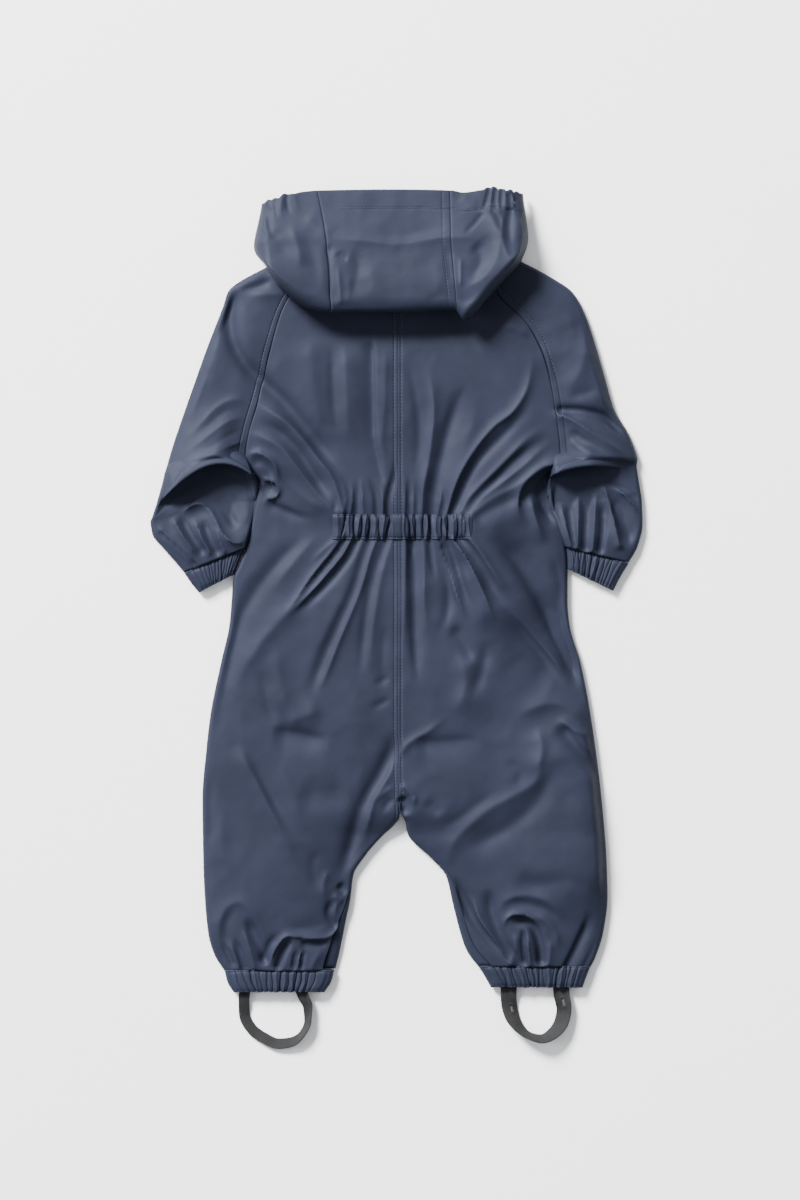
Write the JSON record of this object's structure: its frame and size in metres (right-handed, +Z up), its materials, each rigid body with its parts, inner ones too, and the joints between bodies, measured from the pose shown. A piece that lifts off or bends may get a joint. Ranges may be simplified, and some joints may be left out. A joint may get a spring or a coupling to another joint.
{
  "type": "child's puddle suit laid flat",
  "caption": "Hooded waterproof all-in-one for a small child, laid flat on its front: raglan sleeves, gathered back waist, elastic cuffs and foot straps.",
  "frame": {"origin": "on the surface the suit lies on, below the middle of its bounding box", "axes": "+Y from the foot straps towards the hood, +X to the viewer's right seen from above, +Z up out of the suit's back"},
  "size_m": [0.492, 0.8572, 0.0436],
  "materials": {
    "coated_cloth": "soft satin polyurethane coating on navy knit",
    "elastic_webbing": "matt ribbed charcoal elastic",
    "zip_tape": "woven navy tape with a moulded coil",
    "zip_slider": "satin navy enamel"
  },
  "bodies": {
    "root": {"back_left": "coated_cloth", "back_right": "coated_cloth", "front_left": "coated_cloth", "front_right": "coated_cloth", "sleeve_left": "coated_cloth", "sleeve_right": "coated_cloth", "cuff_left": "coated_cloth", "cuff_right": "coated_cloth", "ankle_left": "coated_cloth", "ankle_right": "coated_cloth", "waist_casing": "coated_cloth", "hood_left": "coated_cloth", "hood_centre": "coated_cloth", "hood_right": "coated_cloth", "hood_inside": "coated_cloth", "strap_left": "elastic_webbing", "strap_right": "elastic_webbing", "front_zip": "zip_tape", "zip_slider": "zip_slider"}
  },
  "joints": []
}
